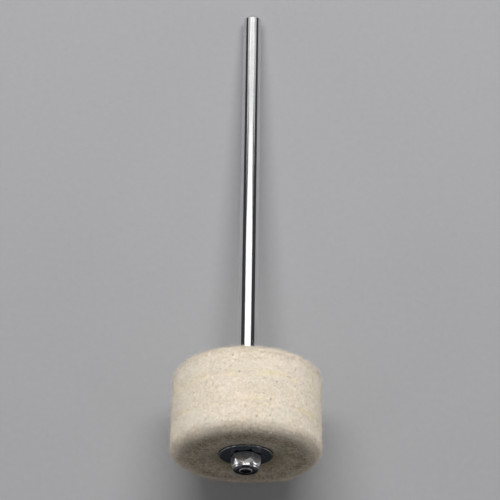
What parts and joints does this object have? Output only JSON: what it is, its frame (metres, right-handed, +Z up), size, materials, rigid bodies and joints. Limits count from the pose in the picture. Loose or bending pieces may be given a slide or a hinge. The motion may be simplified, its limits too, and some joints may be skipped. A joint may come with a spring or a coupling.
{
  "type": "bass drum beater",
  "caption": "Bass drum pedal beater: laminated round felt head clamped by washers and a self-locking nut on a straight polished steel shaft.",
  "frame": {"origin": "on the shaft's axis, where its full diameter starts behind the bevel of the free end", "axes": "+Y along the shaft from the felt head towards the free end, +Z up as the beater lies"},
  "size_m": [0.0724, 0.2607, 0.0724],
  "materials": {
    "polished_steel": "polished bright steel with fine lengthwise scratches",
    "plated_steel": "bright zinc plated",
    "wool_felt": "dense cream wool felt with a fuzzy surface",
    "nylon": "matte dark nylon"
  },
  "bodies": {
    "shaft": {"shaft": "polished_steel", "stop_nut": "plated_steel", "upper_washer": "plated_steel"},
    "head": {"felt_disc_upper": "wool_felt", "felt_disc_middle": "wool_felt", "felt_disc_lower": "wool_felt"},
    "washer": {"lower_washer": "plated_steel"},
    "nut": {"lock_nut": "plated_steel", "lock_ring": "nylon"}
  },
  "joints": [
    {"name": "head_turn", "type": "hinge", "parent": "shaft", "child": "head", "pos_m": [0, -0.2308, 0], "axis": [0, 1, 0], "continuous": true},
    {"name": "nut_travel", "type": "slide", "parent": "shaft", "child": "washer", "axis": [0, -1, 0], "range_m": [0, 0.00625]},
    {"name": "nut_turn", "type": "hinge", "parent": "washer", "child": "nut", "pos_m": [0, -0.2557, 0], "axis": [0, -1, 0], "range_deg": [0, 1800]}
  ],
  "couplings": [
    {"joint": "nut_turn", "follows": "nut_travel", "rad_per_m": 5026.5}
  ]
}
